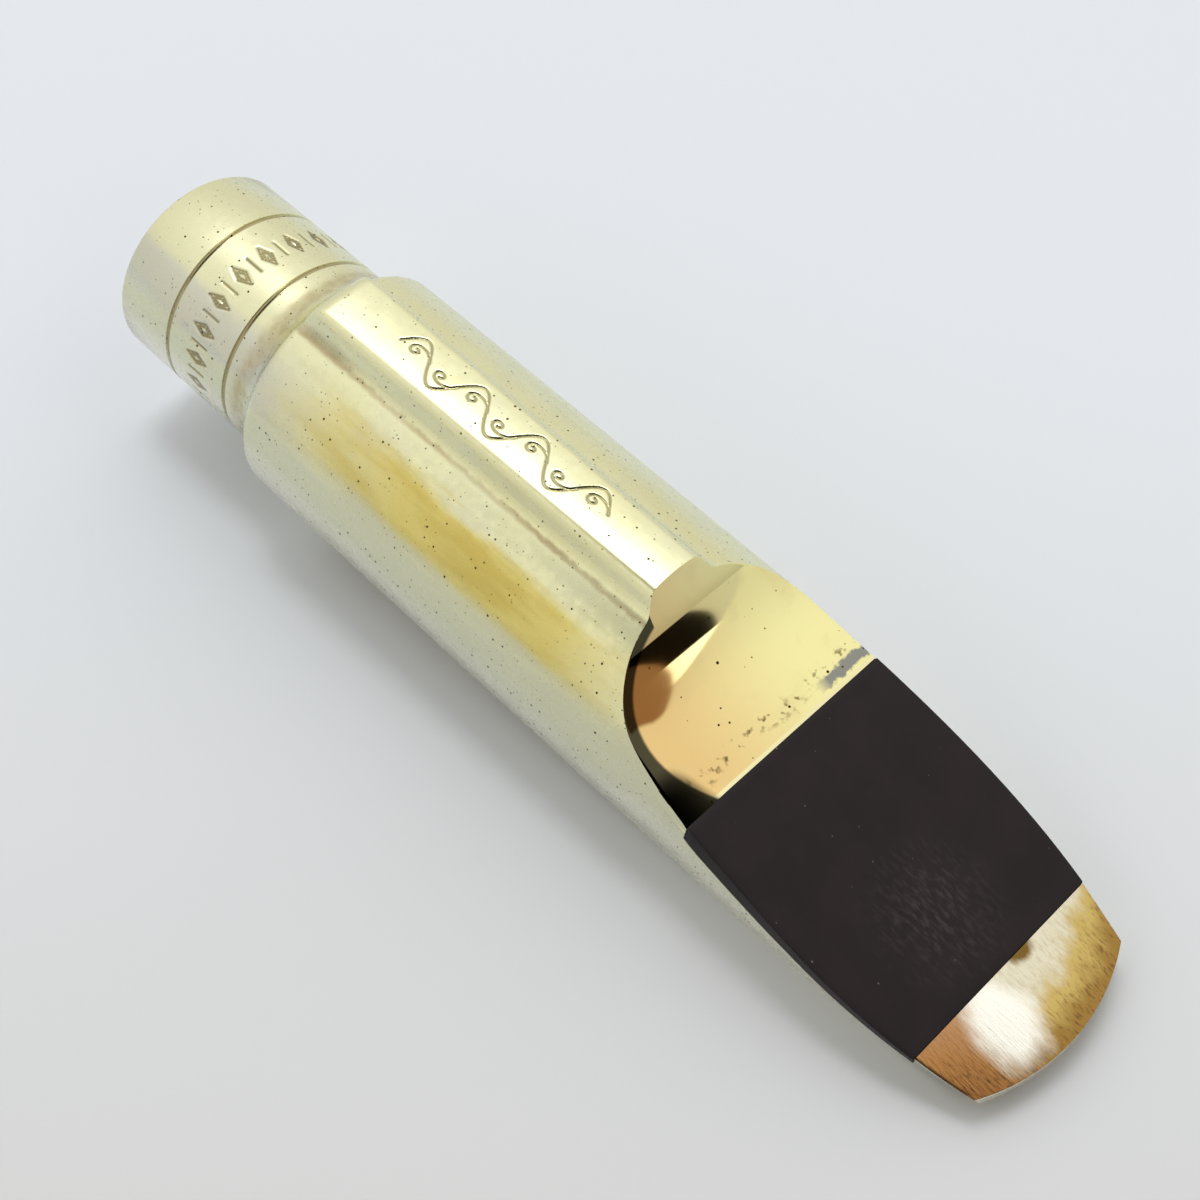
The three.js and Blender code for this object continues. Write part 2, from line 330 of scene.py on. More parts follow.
CHAMPAGNE, SILVERED = "#E6E5BC", "#D2D2C2"
OCHRE, DEEP_OCHRE = "#DCCE80", "#CDBA68"
GREYED, LOW_GREY = "#D6D5B8", "#EAE7D6"
BROWN, PIT = "#7A6248", "#2B2216"


def along_bore(tree):
    """Where a shaded point is, in millimetres along the bore, with its x, its distance from the bore's axis, and its
    angle round the bore from the top, in degrees to the left."""
    back = lie.transposed()
    there = node(tree, "ShaderNodeMapping", {
        "Vector": node(tree, "ShaderNodeTexCoord").outputs["Object"],
        "Location": -(back @ bore_start) / MM,
        "Rotation": back.to_euler(),
        "Scale": (1 / MM, 1 / MM, 1 / MM),
    }).outputs["Vector"]
    parts = node(tree, "ShaderNodeSeparateXYZ", {"Vector": there})
    flat = node(tree, "ShaderNodeCombineXYZ",
                {"Y": parts.outputs["Y"], "Z": parts.outputs["Z"]}).outputs["Vector"]
    distance = node(tree, "ShaderNodeVectorMath", {0: flat}, operation="LENGTH").outputs["Value"]
    leftward = node(tree, "ShaderNodeMath", {0: parts.outputs["Y"], 1: -1.0}, operation="MULTIPLY").outputs[0]
    turn = node(tree, "ShaderNodeMath", {0: leftward, 1: parts.outputs["Z"]}, operation="ARCTAN2").outputs[0]
    angle = node(tree, "ShaderNodeMath", {0: turn, 1: 180 / math.pi}, operation="MULTIPLY").outputs[0]
    return there, parts.outputs, distance, angle


def cloudy(tree, there, size, detail=3.0, stretch=(1, 1, 1)):
    """Soft noise with lumps of a size in millimetres, from about 0.3 to 0.7."""
    drawn_out = node(tree, "ShaderNodeVectorMath", {0: there, 1: stretch},
                     operation="MULTIPLY").outputs["Vector"]
    return node(tree, "ShaderNodeTexNoise",
                {"Vector": drawn_out, "Scale": 1 / size, "Detail": detail}).outputs["Fac"]


def away_from(tree, value, middle, wobble=None, reach=0.0):
    """How far a value is from its middle one, with the middle shifted by up to `reach` where a noise says."""
    if wobble is not None:
        value = node(tree, "ShaderNodeMath", {0: wobble, 1: reach * 2, 2: value},
                     operation="MULTIPLY_ADD").outputs[0]
        middle += reach
    apart = node(tree, "ShaderNodeMath", {0: value, 1: middle}, operation="SUBTRACT").outputs[0]
    return node(tree, "ShaderNodeMath", {0: apart}, operation="ABSOLUTE").outputs[0]


def pits(tree, there, spacing, share):
    """Distance to the nearest pit, in millimetres, far where there is none: a share of the sites have one, and the
    smaller it is the farther it counts."""
    sites = node(tree, "ShaderNodeTexVoronoi", {"Vector": there, "Scale": 1 / spacing})
    near = node(tree, "ShaderNodeMath", {0: sites.outputs["Distance"], 1: spacing},
                operation="MULTIPLY").outputs[0]
    chosen = node(tree, "ShaderNodeSeparateColor", {"Color": sites.outputs["Color"]}).outputs["Red"]
    none = node(tree, "ShaderNodeMath", {0: chosen, 1: share}, operation="GREATER_THAN").outputs[0]
    far = node(tree, "ShaderNodeMath", {0: near, 1: none}, operation="ADD").outputs[0]
    grade = node(tree, "ShaderNodeSeparateColor", {"Color": sites.outputs["Color"]}).outputs["Green"]
    return node(tree, "ShaderNodeMath", {0: grade, 1: 0.1, 2: far}, operation="MULTIPLY_ADD").outputs[0]


def metal(name, roughness):
    """A new metal material with its node tree and its shader."""
    made = bpy.data.materials.new(name)
    made.use_nodes = True
    shader = made.node_tree.nodes["Principled BSDF"]
    shader.inputs["Metallic"].default_value = 1.0
    shader.inputs["Roughness"].default_value = roughness
    return made, made.node_tree, shader


def scratched(tree, shader, there, along, spacing, depth):
    """Fine scratches, much longer along one axis than they are apart, cut to a depth in millimetres."""
    stretch = [0.03 if axis == along else 1.0 for axis in "xyz"]
    lines = cloudy(tree, there, spacing, 2.0, stretch)
    bump = node(tree, "ShaderNodeBump", {"Height": lines, "Strength": 1.0, "Distance": depth * MM})
    tree.links.new(bump.outputs["Normal"], shader.inputs["Normal"])


plated, tree, shader = metal("worn_pale_gold_plate", 0.25)
there, place, distance, angle = along_bore(tree)
lumps = cloudy(tree, there, 6.0)
grain = cloudy(tree, there, 0.9, 4.0)
streaks = cloudy(tree, there, 2.2, 4.0, (0.18, 1, 1))
on_barrel = node(tree, "ShaderNodeMapRange",
                 {"Value": place["X"], "From Min": 18.5, "From Max": 29.0}).outputs[0]

# Pale gold, silvery on the shank and in clouds
tint = painted(tree, colour(SILVERED), colour(CHAMPAGNE), lumps, 0.34, 0.52, on_barrel)
# The thumb's ochre stain, down the left side of the barrel, streaked along it
started = node(tree, "ShaderNodeMapRange",
               {"Value": place["X"], "From Min": 21.0, "From Max": 38.0}).outputs[0]
stain_end = node(tree, "ShaderNodeMapRange", {"Value": place["X"], "From Min": 64.0, "From Max": 55.0,
                                              "To Max": started}).outputs[0]
off_stain = away_from(tree, angle, 48.0, streaks, 9.0)
tint = painted(tree, tint, colour(OCHRE), off_stain, 18.0, 8.0, stain_end)
tint = painted(tree, tint, colour(DEEP_OCHRE), streaks, 0.42, 0.66, stain_end)
tint = painted(tree, tint, colour(CHAMPAGNE), off_stain, 8.0, 20.0, 0.85)
# Greyer low on the sides, and greyer and paler lowest, by the angle round the bore
low = node(tree, "ShaderNodeMath", {0: streaks, 1: 24.0, 2: angle}, operation="MULTIPLY_ADD").outputs[0]
tint = painted(tree, tint, colour(GREYED), low, 68.0, 82.0, 0.85)
tint = painted(tree, tint, colour(LOW_GREY), low, 86.0, 112.0)
# Brown where the flute meets the shoulder, low on the flare and along the spine's foot
near_corner = node(tree, "ShaderNodeVectorMath", {
    0: node(tree, "ShaderNodeCombineXYZ", {"X": place["X"], "Y": angle}).outputs["Vector"],
    1: (23.5, 19.5, 0)},
    operation="SUBTRACT").outputs["Vector"]
near_corner = node(tree, "ShaderNodeVectorMath", {0: near_corner, 1: (0.24, 0.3, 0)}, operation="MULTIPLY")
corner_off = node(tree, "ShaderNodeVectorMath", {0: near_corner.outputs["Vector"]},
                  operation="LENGTH").outputs["Value"]
tint = painted(tree, tint, colour(BROWN), corner_off, 1.3, 0.1, lumps)
foot_off = away_from(tree, angle, 21.0, grain, 1.6)
foot_end = node(tree, "ShaderNodeMapRange", {"Value": place["X"], "From Min": 19.3, "From Max": 20.5,
                                             "To Max": lumps}).outputs[0]
tint = painted(tree, tint, colour("#A8936A"), foot_off, 2.0, 0.2, foot_end)
flare_off = away_from(tree, place["X"], 17.2, lumps, 1.5)
tint = painted(tree, tint, colour("#B0A078"), flare_off, 1.8, 0.4, grain)
# Dirt in the turned grooves and the engraving
shank_only = node(tree, "ShaderNodeMath", {0: place["X"], 1: 16.0}, operation="LESS_THAN").outputs[0]
tint = painted(tree, tint, colour("#B0A684"), distance, 9.26, 9.08, shank_only)
cut_in = node(tree, "ShaderNodeAttribute", attribute_name="engraved").outputs["Fac"]
tint = painted(tree, tint, colour("#776A38"), cut_in, 0.1, 0.7, 0.9)
# Pits, down to bare dark metal
pitted = pits(tree, there, 0.7, 0.85)
tint = painted(tree, tint, colour(PIT), pitted, 0.14, 0.08)
tint = painted(tree, tint, colour(PIT), pits(tree, there, 0.4, 0.4), 0.11, 0.06, 0.6)
tree.links.new(tint, shader.inputs["Base Color"])
haze = node(tree, "ShaderNodeMapRange", {"Value": grain, "From Min": 0.3, "From Max": 0.7, "To Min": 0.19,
                                         "To Max": 0.33}).outputs[0]
tree.links.new(haze, shader.inputs["Roughness"])
scratched(tree, shader, there, "x", 0.5, 0.004)


def engraving_tree():
    """Cuts a pattern's lines into a surface and marks how deep each point lies, for dirt to gather there."""
    tree = bpy.data.node_groups.new("engraving", "GeometryNodeTree")
    sockets = (("Geometry", "NodeSocketGeometry"), ("Pattern", "NodeSocketObject"),
               ("Line Width", "NodeSocketFloat"),
               ("Depth", "NodeSocketFloat"), ("Metal", "NodeSocketMaterial"))
    for name, kind in sockets:
        tree.interface.new_socket(name, in_out="INPUT", socket_type=kind)
    tree.interface.new_socket("Geometry", in_out="OUTPUT", socket_type="NodeSocketGeometry")
    given = node(tree, "NodeGroupInput").outputs
    lines = node(tree, "GeometryNodeObjectInfo", {"Object": given["Pattern"]}).outputs["Geometry"]
    away = node(tree, "GeometryNodeProximity", {0: lines}, target_element="EDGES").outputs["Distance"]
    cut_depth = node(tree, "ShaderNodeMapRange",
                     {"Value": away, "From Min": given["Line Width"], "From Max": 0.0},
                     interpolation_type="SMOOTHSTEP").outputs["Result"]
    down = node(tree, "ShaderNodeMath", {0: cut_depth, 1: given["Depth"]}, operation="MULTIPLY").outputs[0]
    down = node(tree, "ShaderNodeMath", {0: down, 1: -1.0}, operation="MULTIPLY").outputs[0]
    inward = node(tree, "ShaderNodeVectorMath",
                  {0: node(tree, "GeometryNodeInputNormal").outputs[0], "Scale": down},
                  operation="SCALE").outputs["Vector"]
    moved = node(tree, "GeometryNodeSetPosition",
                 {"Geometry": given["Geometry"], "Offset": inward}).outputs[0]
    marked = node(tree, "GeometryNodeStoreNamedAttribute",
                  {"Geometry": moved, "Name": "engraved", "Value": cut_depth},
                  data_type="FLOAT", domain="POINT").outputs[0]
    real = node(tree, "GeometryNodeRealizeInstances", {"Geometry": marked}).outputs[0]
    dressed_in = node(tree, "GeometryNodeSetMaterial",
                      {"Geometry": real, "Material": given["Metal"]}).outputs[0]
    node(tree, "NodeGroupOutput", {"Geometry": dressed_in})
    return tree


engraving = engraving_tree()


def engrave(piece, lines, width, depth):
    """Engraves lines, each a list of points along the bore, into a finely divided surface."""
    points = [point for one in lines for point in one]
    starts = np.cumsum([0] + [len(one) for one in lines])
    edges = [(i, i + 1) for start, one in zip(starts, lines) for i in range(start, start + len(one) - 1)]
    mesh = bpy.data.meshes.new("engraved_lines")
    mesh.from_pydata([tuple(p) for p in placed(points)], edges, [])
    pattern = bpy.data.objects.new("engraved_lines", mesh)
    scene.collection.objects.link(pattern)
    modifier = piece.modifiers.new("engraving", "NODES")
    modifier.node_group = engraving
    values = {"Pattern": pattern, "Line Width": width * MM, "Depth": depth * MM, "Metal": plated}
    for socket in engraving.interface.items_tree:
        if socket.in_out == "INPUT" and socket.name in values:
            modifier[socket.identifier] = values[socket.name]
    settled(piece)
    bpy.data.objects.remove(pattern)


MARKS = 20  # round the band, lozenges with a bar between each two
band_middle = (BAND_START + BAND_END) / 2
marks = []
for i in range(MARKS):
    turn = i * 2 * math.pi / MARKS
    lozenge = [(1.3, 0), (0, 0.055), (-1.3, 0), (0, -0.055), (1.3, 0)]
    inner = [(0.7, 0), (0, 0.028), (-0.7, 0), (0, -0.028), (0.7, 0)]
    bar = [(-1.0, math.pi / MARKS), (1.0, math.pi / MARKS)]
    for shape in (lozenge, inner, bar):
        fine = [
            (a[0] + (b[0] - a[0]) * t, a[1] + (b[1] - a[1]) * t)
            for a, b in zip(shape, shape[1:]) for t in np.linspace(0, 1, 6)
        ]
        marks.append([
            (band_middle + dx, SHANK_RADIUS * math.sin(turn + da), SHANK_RADIUS * math.cos(turn + da)) for dx,
            da in fine
        ])
engrave(shank, marks, 0.22, 0.1)
dressed(shank, "plated_brass", "shank_sleeve", plated)

# ---- Body shell ----
# The barrel with its spine, the scoop, the beak and the side rails, milled from one piece of brass and buffed, which
# has rounded the scoop's edges. The outside is ruled patches that meet along the scoop's edge; the rest is cut out.

LENGTH = 101.59
BODY_START = 19.4
BARREL_RADIUS = 11.25
SPINE_START, SPINE_END, SPINE_RISE = 20.0, 62.0, 2.2
SPINE_WIDTHS, SPINE_HEIGHTS = (3.12, 2.68), (12.95, 12.4)
SPINE_CROWN, SPINE_FILLET, SPINE_EDGE = 0.25, 1.15, 0.75
SLOPE_START, SLOPE_HEIGHT = 70.0, 3.43
SLOPE_END, SLOPE_END_HEIGHT = 94.5, -2.08
SCOOP_RADIUS = 14.8
TIP_HEIGHT, TIP_ARC, TIP_CROWN = -3.3, 18.7, 0.35
TAPER_START, TAPER = 72.0, 9.2e-5
BUFFED_IN, BUFFED_TILT, BUFFED_ONSET = 0.42, 0.085, 0.5
EDGE_ROUND = 0.14
SHOULDER_ROUND = 0.9

slope = (SLOPE_END_HEIGHT - SLOPE_HEIGHT) / (SLOPE_END - SLOPE_START)
scoop_x = SLOPE_START - SCOOP_RADIUS * math.sin(math.atan(slope))
scoop_z = SLOPE_HEIGHT + SCOOP_RADIUS * math.cos(math.atan(slope))


def eased_share(x, start, end):
    """0 before start, 1 after end, and smooth between them."""
    share = np.clip((x - start) / (end - start), 0, 1)
    return share * share * (3 - 2 * share)


def body_radius(x):
    """The barrel's radius: rounded at the shoulder, plain, and then drawn in towards the tip."""
    rounding = np.clip((x - BODY_START) / SHOULDER_ROUND, 0, 1)
    shoulder = SHOULDER_RADIUS + (BARREL_RADIUS - SHOULDER_RADIUS) * np.sqrt(1 - (1 - rounding) ** 2)
    return shoulder - TAPER * np.clip(x - TAPER_START, 0, None) ** 3


def buffed_in(x, angle):
    """How far hard buffing took the left flank in beside the scoop, by the angle round the bore from the top."""
    along = eased_share(x, 62.5, 68) * (1 - 0.55 * eased_share(x, 70.5, 73)) * (1 - eased_share(x, 74, 88))
    return BUFFED_IN * along * eased_share(angle, 0.7, 1.15) * eased_share(angle, 2.1, 1.45)


def beak_line(x):
    """Height of the scoop, slope and tip on the middle plane. Behind the scoop there is no cut."""
    depth = SCOOP_RADIUS**2 - (x - scoop_x) ** 2
    scoop = scoop_z - np.sqrt(np.clip(depth, 0, None))
    line = SLOPE_HEIGHT + slope * (x - SLOPE_START)
    tip = SLOPE_END_HEIGHT + (TIP_HEIGHT - SLOPE_END_HEIGHT) * (x - SLOPE_END) / (LENGTH - SLOPE_END)
    height = np.where(x < SLOPE_START, scoop, np.where(x < SLOPE_END, line, tip))
    return np.where((depth < 0) & (x < SLOPE_START), 99.0, height)


def beak_surface(x, y):
    """The scoop rolls off a little towards its buffed left side, and the tip is crowned."""
    x, y = np.broadcast_arrays(np.asarray(x, float), np.asarray(y, float))
    line = beak_line(x)
    edge = np.sqrt(np.clip(BARREL_RADIUS**2 - np.where(line > 50, 0, line) ** 2, 0.01, None)) - BUFFED_IN
    band = 1.2 + np.clip(x - 65, 0, None) * 0.42
    inward = np.clip(-y - edge + band + 0.4, 0, None)
    roll = BUFFED_TILT * (np.sqrt(inward**2 + BUFFED_ONSET**2) - BUFFED_ONSET)
    roll *= eased_share(x, 61.5, 65) * eased_share(x, 76, 73)
    tip = np.clip((x - SLOPE_END) / (LENGTH - SLOPE_END), 0, 1)
    crown = TIP_CROWN * tip * (2 - tip) * (0.35 - (y / 8.8) ** 2)
    return line - roll + np.where(x < SLOPE_END, 0, crown)


def tip_arch(y):
    return LENGTH - TIP_ARC + np.sqrt(TIP_ARC**2 - np.minimum(np.abs(y), TIP_ARC) ** 2)


# The corner where the beak's edge meets the tip's arch
low, high = SLOPE_END, LENGTH - 0.01
for _ in range(50):
    corner_x = (low + high) / 2
    corner_y = math.sqrt(TIP_ARC**2 - (corner_x - LENGTH + TIP_ARC) ** 2)
    corner_z = float(beak_surface(corner_x, corner_y))
    corner_angle = math.atan2(corner_y, corner_z)
    inside_body = math.hypot(corner_y, corner_z) < body_radius(corner_x)
    low, high = (low, corner_x) if inside_body else (corner_x, high)

CROWN_COLUMNS, EDGE_COLUMNS, FILLET_COLUMNS, FLANK_COLUMNS, UNDER_COLUMNS = 13, 5, 9, 48, 22
TIP_COLUMNS = 11  # of the flank's, those that run out in front of the bite plate
BEAK_COLUMNS = CROWN_COLUMNS
slope_end_angle = math.acos(SLOPE_END_HEIGHT / float(body_radius(SLOPE_END)))
corner_column = CROWN_COLUMNS + EDGE_COLUMNS + FILLET_COLUMNS + FLANK_COLUMNS
half_columns = corner_column + UNDER_COLUMNS


def half_section(x, side):
    """The outside's section at each x, from the top of the spine round to the bottom: arrays of y and z. The side is
    -1 for the left and 1 for the right."""
    x = np.asarray(x, float)[:, None]
    radius = body_radius(x)
    along = np.clip((x - SPINE_START) / (SPINE_END - SPINE_START), 0, 1.2)
    rise = np.clip((x - SPINE_START) / SPINE_RISE, 0, 1)
    risen = np.sqrt(1 - (1 - rise) ** 2)
    half_width = SPINE_WIDTHS[0] + (SPINE_WIDTHS[1] - SPINE_WIDTHS[0]) * along
    full = SPINE_HEIGHTS[0] + (SPINE_HEIGHTS[1] - SPINE_HEIGHTS[0]) * along
    bare_height = np.sqrt(radius**2 - half_width**2)
    edge = bare_height + (full - bare_height) * risen
    rounding = SPINE_EDGE * np.ones_like(risen)

    share = np.linspace(0, 1, CROWN_COLUMNS + 1)[None, :]
    crown_y = (half_width - rounding) * share
    crown_z = edge + SPINE_CROWN * risen * (1 - (crown_y / half_width) ** 2)
    foot = half_width + SPINE_FILLET
    foot_z = np.sqrt(radius**2 - foot**2)
    top_y, top_z = crown_y[:, -1:], crown_z[:, -1:]
    lean = -2 * SPINE_CROWN * risen * top_y / half_width**2
    reach = SPINE_EDGE * 1.25
    t = np.linspace(0, 1, EDGE_COLUMNS + FILLET_COLUMNS + 1)[None, 1:]
    weights = ((1 - t) ** 3, 3 * t * (1 - t) ** 2, 3 * t**2 * (1 - t), t**3)
    wall_y = sum(w * v for w, v in zip(weights, (top_y, top_y + reach, foot - reach, foot)))
    foot_rise = reach * foot / foot_z
    wall_z = sum(w * v for w, v in zip(weights, (top_z, top_z + lean * reach, foot_z + foot_rise, foot_z)))
    foot_angle = np.arctan2(foot, foot_z)
    share = np.linspace(0, 1, FLANK_COLUMNS - TIP_COLUMNS + 1)[None, 1:]
    flank = foot_angle + (slope_end_angle - foot_angle) * share
    share = np.linspace(0, 1, TIP_COLUMNS + 1)[None, 1:]
    tip_flank = slope_end_angle + (corner_angle - slope_end_angle) * share + 0 * foot_angle
    share = np.linspace(0, 1, UNDER_COLUMNS + 1)[None, 1:]
    under = corner_angle + (math.pi - corner_angle) * share + 0 * foot_angle
    angle = np.concatenate((flank, tip_flank, under), axis=1)
    round_part = radius - (buffed_in(x, angle) if side < 0 else 0)
    y = np.concatenate((crown_y, wall_y, round_part * np.sin(angle)), axis=1)
    z = np.concatenate((crown_z, wall_z, round_part * np.cos(angle)), axis=1)
    return side * y, z


def outline_ends(side):
    """Where each column runs out: at the beak's surface, or at the tip's arch for those below the corner."""
    stations = np.arange(58.5, LENGTH + 0.1, 0.02)
    y, z = half_section(stations, side)
    above_beak = z - beak_surface(stations[:, None], y)
    past_arch = stations[:, None] - tip_arch(y)
    ends = []
    for column in range(half_columns + 1):
        gap = above_beak[:, column] if column <= corner_column else past_arch[:, column]
        after = int(np.argmax(gap > 0)) if (gap > 0).any() else len(stations) - 1
        before = max(after - 1, 0)
        share = np.clip(-gap[before] / max(gap[after] - gap[before], 1e-9), 0, 1)
        ends.append(stations[before] + share * (stations[after] - stations[before]))
    ends[corner_column] = corner_x
    return np.array(ends)


SHARED_END = 58.0
shoulder_rows = BODY_START + SHOULDER_ROUND * (1 - np.cos(np.linspace(0, math.pi / 2, 7)))
shared = np.concatenate((shoulder_rows, np.linspace(20.3, 22.4, 13)[1:],
                         np.linspace(22.4, SHARED_END, 110)[1:]))


def half_skin(side):
    """One side of the outside, in rows from the shoulder to the scoop's edge and the tip."""
    y, z = half_section(shared, side)
    rows = [np.column_stack((np.full(half_columns + 1, a), b, c)) for a, b, c in zip(shared, y, z)]
    ends = outline_ends(side)
    for share in np.linspace(0, 1, 51)[1:]:
        x = SHARED_END + (ends - SHARED_END) * share
        y, z = half_section(x, side)
        rows.append(np.column_stack((x, np.diagonal(y), np.diagonal(z))))
    last = rows[-1]
    last[corner_column:, 0] = tip_arch(last[corner_column:, 1])
    last[corner_column, :2] = corner_x, side * corner_y
    last[: corner_column + 1, 2] = beak_surface(last[: corner_column + 1, 0], last[: corner_column + 1, 1])
    return rows


right, left = half_skin(1), half_skin(-1)
skin = np.concatenate([np.concatenate((a, b[-2:0:-1])) for a, b in zip(right, left)])
skin_columns = 2 * half_columns
skin_faces = grid_faces(len(right), skin_columns, closed=True)

# The beak's surface, in rows from side to side: the first is the spine's front edge, the last the tip's arch
right_end, left_end = right[-1], left[-1]
spread = np.linspace(-1, 1, 2 * BEAK_COLUMNS + 1)
crowded = np.sin(spread * math.pi / 2)
beak_rows = [np.concatenate((left_end[CROWN_COLUMNS:0:-1], right_end[: CROWN_COLUMNS + 1]))]
for column in range(CROWN_COLUMNS + 1, half_columns + 1):
    (right_x, right_y, z), (left_x, left_y, left_z) = right_end[column], left_end[column]
    warp = min(1.0, (column - CROWN_COLUMNS) / 12) * 0.7
    share = (spread * (1 - warp) + crowded * warp + 1) / 2
    wide = left_y + (right_y - left_y) * share
    x = left_x + (right_x - left_x) * share
    if column <= corner_column:
        beak_rows.append(np.column_stack((x, wide, beak_surface(x, wide))))
        continue
    if column == corner_column + 1:
        across_tip = beak_rows[-1][:, 1]
        for step in np.linspace(0, 1, 9)[1:]:
            x = corner_x + (tip_arch(across_tip) - corner_x) * step
            beak_rows.append(np.column_stack((x, across_tip, beak_surface(x, across_tip))))
    beak_rows.append(np.column_stack((tip_arch(wide), wide, left_z + (z - left_z) * share)))
beak = np.concatenate(beak_rows)
beak_faces = grid_faces(len(beak_rows), len(spread), first=len(skin))
rear = len(skin) + len(beak)
rear_faces = [((i + 1) % skin_columns, i, rear) for i in range(skin_columns)]
body = mesh_object(
    "plated_body", np.concatenate((skin, beak, [(BODY_START, 0, 0)])), skin_faces + beak_faces + rear_faces
)
eased(body, EDGE_ROUND)

# The crown is divided finely where it is engraved
SCROLL_START, SCROLL_END, SCROLL_PITCH, SCROLL_HEIGHT = 28.5, 52.3, 3.4, 1.6

work = bmesh.new()
work.from_mesh(body.data)
work.faces.ensure_lookup_table()
spots = drawn([face.calc_center_median() for face in work.faces])
chosen = (spots[:, 0] > SCROLL_START - 1) & (spots[:, 0] < SCROLL_END + 1) & (spots[:, 2] > 12)
chosen &= np.abs(spots[:, 1]) < 2.1
edges = {edge for index in np.flatnonzero(chosen) for edge in work.faces[index].edges}
bmesh.ops.subdivide_edges(work, edges=list(edges), cuts=3, use_grid_fill=True)
work.to_mesh(body.data)
work.free()

TABLE_START, TABLE_HEIGHT = 25.6, -7.4
FACING_START, TIP_OPENING = 77.0, 3.25
TABLE_PLATE, TABLE_PLATE_END = 2.05, 66.0
CHAMBER_RADIUS, CHAMBER_END, DOME = 8.9, 56.0, 8.6
THROAT_START, THROAT_HALF_WIDTH, THROAT_CEILING, TIP_RAIL = 60.0, 6.4, 3.2, 1.3
BAFFLE_BEHIND_TIP, BAFFLE_HEIGHT, ROOF = 4.1, -4.15, 0.9
PLATE_START, PLATE_THICKNESS = 71.9, 1.43
JOINT = 0.04  # hairline left round a fitted piece
BEYOND = 20.0
INSIDE_STEPS = 192


def extruded(name, outline, low, high, along="y"):
    """An outline of (x, z) carried across, or one of (x, y) carried up, from low to high."""
    count = len(outline)
    points = [(a, s, b) if along == "y" else (a, b, s) for s in (low, high) for a, b in outline]
    walls = [(i, (i + 1) % count, count + (i + 1) % count, count + i) for i in range(count)]
    return mesh_object(name, points, [*walls, tuple(range(count)), tuple(range(count, 2 * count))])


def cut(piece, tool, operation="DIFFERENCE"):
    """Joins or cuts a piece with a tool, which is then gone."""
    modifier = piece.modifiers.new(tool.name, "BOOLEAN")
    modifier.operation = operation
    modifier.solver = "MANIFOLD"
    modifier.object = tool
    settled(piece)
    bpy.data.objects.remove(tool)


def underside(x):
    """The table, and from where the facing starts the parabola that rises to the tip."""
    return TABLE_HEIGHT + TIP_OPENING * (np.clip(x - FACING_START, 0, None) / (LENGTH - FACING_START)) ** 2


cut(body,
    turned("counterbore", [(18, 0), (18, SPIGOT_RADIUS + JOINT), (BORE_DEPTH + 0.3, SPIGOT_RADIUS + JOINT),
                                 (BORE_DEPTH + 0.3, 0)], INSIDE_STEPS))
dome = [
    (CHAMBER_END + DOME * math.sin(t), CHAMBER_RADIUS * math.cos(t)) for t in np.linspace(0, math.pi / 2,
                                                                                          17)[:-1]
]
cut(body, turned("chamber", [(BORE_DEPTH, 0), (BORE_DEPTH, CHAMBER_RADIUS), *dome, (CHAMBER_END + DOME, 0)],
                 INSIDE_STEPS))

bed = PLATE_THICKNESS + JOINT
rail_start = LENGTH - TIP_RAIL
throat = extruded("throat", [
    (THROAT_START, -BEYOND),
    (THROAT_START, THROAT_CEILING),
    (PLATE_START, float(beak_line(PLATE_START)) - bed - ROOF),
    (SLOPE_END, float(beak_line(SLOPE_END - 1e-6)) - bed - ROOF),
    (LENGTH - BAFFLE_BEHIND_TIP, BAFFLE_HEIGHT),
    (rail_start, float(underside(rail_start))),
    (rail_start, -BEYOND),
], -THROAT_HALF_WIDTH, THROAT_HALF_WIDTH)
arch_turn = np.linspace(-0.6, 0.6, 49)
inner_arch = [
    (LENGTH - TIP_ARC + (TIP_ARC - TIP_RAIL) * math.cos(t),
     (TIP_ARC - TIP_RAIL) * math.sin(t)) for t in arch_turn
]
cut(throat, extruded("throat_end", [*inner_arch, (THROAT_START - 1, BEYOND), (THROAT_START - 1, -BEYOND)],
                     -BEYOND - 1, BEYOND, "z"), "INTERSECT")
cut(body, throat)
facing_curve = [(float(x), float(underside(x))) for x in np.linspace(FACING_START, LENGTH + 1, 41)]
cut(body, extruded("below_table", [(TABLE_START, TABLE_HEIGHT), *facing_curve, (LENGTH + 1, -BEYOND),
                                   (TABLE_START, -BEYOND)], -BEYOND, BEYOND))
cut(body, extruded("plate_bed", [
    (PLATE_START - JOINT, float(beak_line(PLATE_START)) - bed),
    (SLOPE_END + JOINT, float(beak_line(SLOPE_END - 1e-6)) - bed),
    (SLOPE_END + JOINT, BEYOND),
    (PLATE_START - JOINT, BEYOND),
], -BEYOND, BEYOND))
seat = TABLE_HEIGHT + TABLE_PLATE + JOINT
cut(body, extruded("table_seat", [
    (TABLE_START, seat), (TABLE_PLATE_END + JOINT, seat), (TABLE_PLATE_END + JOINT, -BEYOND),
    (TABLE_START, -BEYOND),
], -BEYOND, BEYOND))


def crown_height(x, y):
    along = (x - SPINE_START) / (SPINE_END - SPINE_START)
    half_width = SPINE_WIDTHS[0] + (SPINE_WIDTHS[1] - SPINE_WIDTHS[0]) * along
    edge = SPINE_HEIGHTS[0] + (SPINE_HEIGHTS[1] - SPINE_HEIGHTS[0]) * along
    return edge + SPINE_CROWN * (1 - (y / half_width) ** 2)


